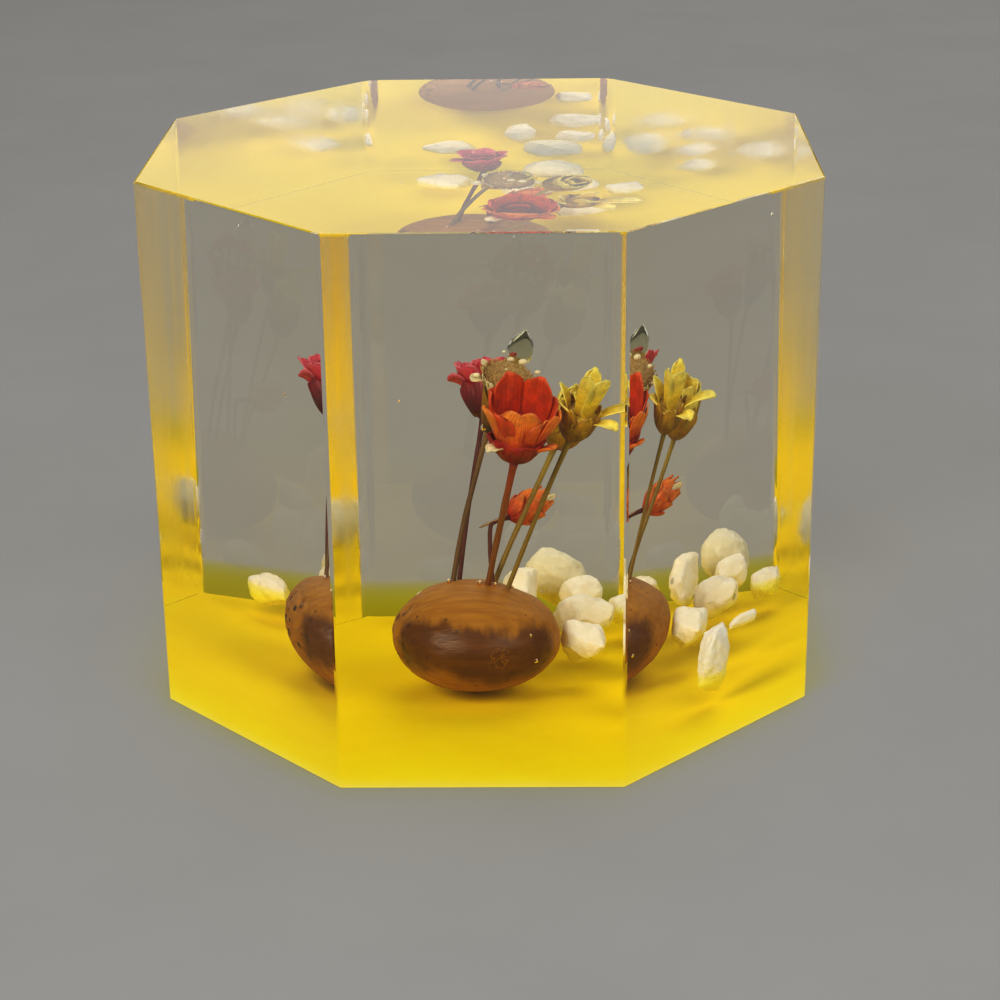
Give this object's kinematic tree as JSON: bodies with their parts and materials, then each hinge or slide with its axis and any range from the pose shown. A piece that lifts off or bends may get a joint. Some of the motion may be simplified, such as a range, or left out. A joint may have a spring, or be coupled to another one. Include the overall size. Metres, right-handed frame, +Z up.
{
  "type": "dried flower paperweight",
  "caption": "Clear octagonal acrylic block on a see-through yellow base layer, with a nut, dried flowers on stems and white stone chips cast inside; a weight that holds papers down.",
  "frame": {"origin": "middle of the underside", "axes": "+Z up, the front face looks to -Y, +X to the right of someone facing it"},
  "size_m": [0.06, 0.06, 0.05],
  "materials": {
    "clear_resin": "clear polished acrylic resin",
    "yellow_resin": "see-through yellow acrylic resin with a matt underside",
    "nut_shell": "smooth brown nut shell",
    "crimson_petals": "dried papery petals",
    "orange_petals": "dried papery bracts",
    "yellow_petals": "dried papery bracts",
    "brown_florets": "dried florets",
    "red_stem": "dried stem",
    "olive_stem": "dried stem",
    "white_stone": "white marble chip"
  },
  "bodies": {
    "root": {"yellow_base": "yellow_resin", "clear_front_half": "clear_resin", "clear_back_half": "clear_resin", "nut": "nut_shell", "crimson_stem": "red_stem", "brown_stem": "olive_stem", "orange_stem": "olive_stem", "front_yellow_stem": "olive_stem", "back_yellow_stem": "olive_stem", "bud_stem": "red_stem", "crimson_flower": "crimson_petals", "brown_flower": "brown_florets", "orange_flower": "orange_petals", "front_yellow_flower": "yellow_petals", "back_yellow_flower": "yellow_petals", "orange_bud": "orange_petals", "stone_back": "white_stone", "stone_back_low": "white_stone", "stone_middle": "white_stone", "stone_behind_nut": "white_stone", "stone_by_nut": "white_stone", "stone_right": "white_stone", "stone_standing": "white_stone", "stone_left": "white_stone", "stone_sliver": "white_stone"}
  },
  "joints": []
}
